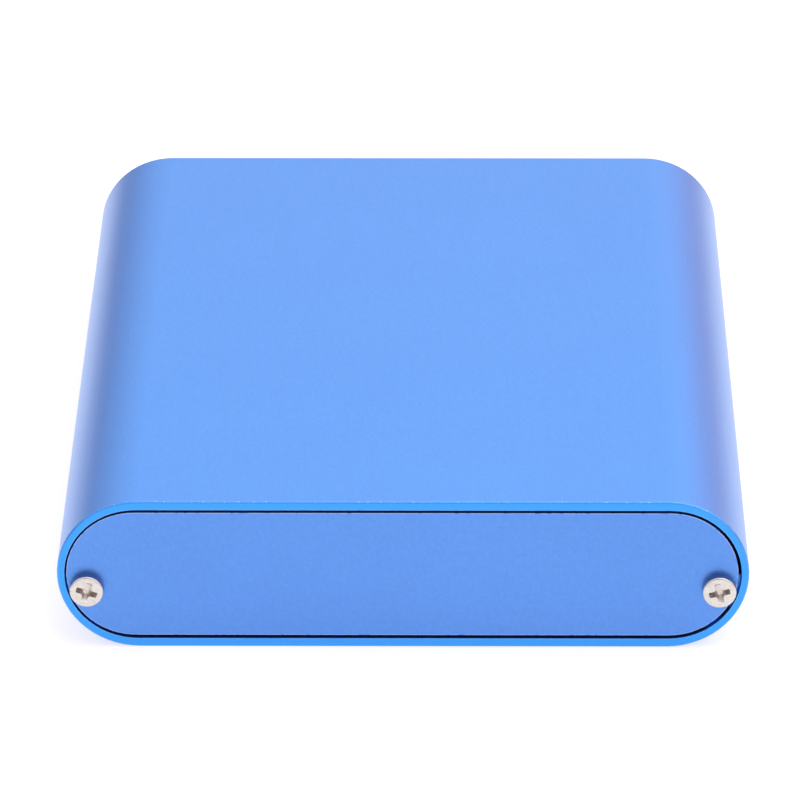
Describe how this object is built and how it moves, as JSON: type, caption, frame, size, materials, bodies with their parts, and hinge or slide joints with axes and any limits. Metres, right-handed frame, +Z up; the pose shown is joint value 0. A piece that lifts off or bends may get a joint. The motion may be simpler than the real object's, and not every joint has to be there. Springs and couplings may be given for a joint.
{
  "type": "single board computer",
  "caption": "Single board computer in an extruded aluminium case with rounded sides: slide-in board, screwed end plates, rear sockets, power button and memory card.",
  "frame": {"origin": "centre of the case underside", "axes": "+X to the right seen from the blank front plate, +Y from the blank front plate to the sockets, +Z up"},
  "size_m": [0.1, 0.1258, 0.0236],
  "materials": {
    "case_blue": "blue anodised, satin, faint extrusion lines",
    "plate_blue": "blue anodised, satin, faint brushing",
    "nickel": "nickel plated, satin",
    "board_green": "glass fibre laminate with green solder mask",
    "tin": "tin plated",
    "chip_black": "moulded epoxy, matt",
    "pad_grey": "soft silicone",
    "sink_black": "black anodised, extruded",
    "inductor_grey": "pressed iron powder",
    "can_silver": "drawn can, bright",
    "ceramic_tan": "fired ceramic",
    "gold": "gold plated contact",
    "socket_black": "moulded, fine grain",
    "socket_white": "moulded",
    "button_black": "moulded, polished",
    "button_brown": "moulded",
    "lamp_amber": "tinted lens",
    "lamp_green": "tinted lens",
    "card_black": "moulded",
    "clear_plastic": "clear acrylic"
  },
  "bodies": {
    "case": {"case_sleeve": "case_blue"},
    "board": {"circuit_board": "board_green", "solder_joints": "tin", "processor": "chip_black", "thermal_pad": "pad_grey", "heat_sink": "sink_black", "memory_chips": "chip_black", "storage_chip": "chip_black", "power_chip": "chip_black", "network_chip": "chip_black", "hub_chip": "chip_black", "chip_legs": "tin", "power_inductors": "inductor_grey", "capacitor_bases": "socket_black", "capacitor_cans": "can_silver", "crystal_cans": "can_silver", "chip_capacitors": "ceramic_tan", "chip_resistors": "chip_black", "header_base": "socket_black", "header_pins": "gold", "debug_socket": "socket_white", "debug_pins": "tin", "battery_holder": "socket_black", "coin_cell": "nickel", "battery_clip": "tin", "boot_switch": "socket_black", "power_switch": "socket_black", "power_jack": "socket_black", "power_jack_pin": "nickel", "video_shell": "nickel", "video_tongue": "socket_black", "network_shield": "nickel", "network_housing": "socket_black", "network_contacts": "gold", "network_lamps": "lamp_amber", "usb_shells": "nickel", "usb_tongues": "socket_white", "usb_contacts": "gold", "card_socket": "nickel", "status_leds": "lamp_green", "light_pipes": "clear_plastic"},
    "front_plate": {"front_plate": "plate_blue", "front_screws": "nickel"},
    "rear_plate": {"rear_plate": "plate_blue", "rear_screws": "nickel"},
    "power_button": {"power_button": "button_black"},
    "boot_button": {"boot_button": "button_brown"},
    "memory_card": {"memory_card": "card_black"}
  },
  "joints": [
    {"name": "front_plate_off", "type": "slide", "parent": "case", "child": "front_plate", "axis": [0, -1, 0], "range_m": [0, 0.02]},
    {"name": "board_slide", "type": "slide", "parent": "case", "child": "board", "axis": [0, 1, 0], "range_m": [0, 0.125]},
    {"name": "rear_plate_off", "type": "slide", "parent": "board", "child": "rear_plate", "axis": [0, 1, 0], "range_m": [0, 0.02]},
    {"name": "power_press", "type": "slide", "parent": "board", "child": "power_button", "axis": [0, -1, 0], "range_m": [0, 0.0012], "stiffness_N_per_m": 800, "springref_m": -0.0008},
    {"name": "boot_press", "type": "slide", "parent": "board", "child": "boot_button", "axis": [0, 0, -1], "range_m": [0, 0.00025], "stiffness_N_per_m": 1000, "springref_m": -0.0005},
    {"name": "card_slide", "type": "slide", "parent": "board", "child": "memory_card", "axis": [0, 1, 0], "range_m": [0, 0.0125]}
  ]
}
